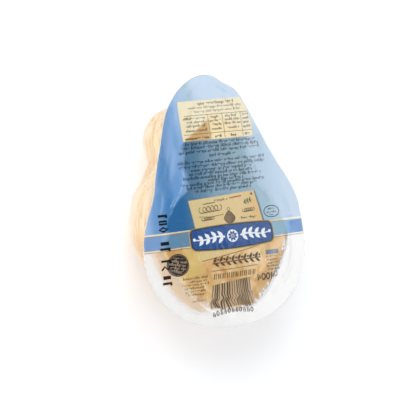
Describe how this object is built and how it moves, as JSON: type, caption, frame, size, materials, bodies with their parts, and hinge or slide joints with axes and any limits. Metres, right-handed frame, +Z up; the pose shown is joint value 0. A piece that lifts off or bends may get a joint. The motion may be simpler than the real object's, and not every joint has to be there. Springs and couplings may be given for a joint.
{
  "type": "sealed pack of smoked cheese",
  "caption": "Pear-shaped smoked stretched-curd cheese, vacuum-sealed in clear formed film with a flat teardrop flange and a thin printed front film; lies on its back.",
  "frame": {"origin": "centre of the bounding box at the base, on the floor plane of the small flat spot on the cheese's back", "axes": "+Y along the cheese from its base to its head, +Z up and out of the printed film, +X across the flange"},
  "size_m": [0.0916, 0.1276, 0.0611],
  "materials": {
    "cheese_under_clear_film": "pale cream to light straw cheese under tight clear glossy film",
    "printed_film": "glossy clear film with translucent sky-blue print, cream panels, navy plaque and a clear lower window"
  },
  "bodies": {
    "root": {"cheese_in_film": "cheese_under_clear_film", "lid_film": "printed_film"}
  },
  "joints": []
}
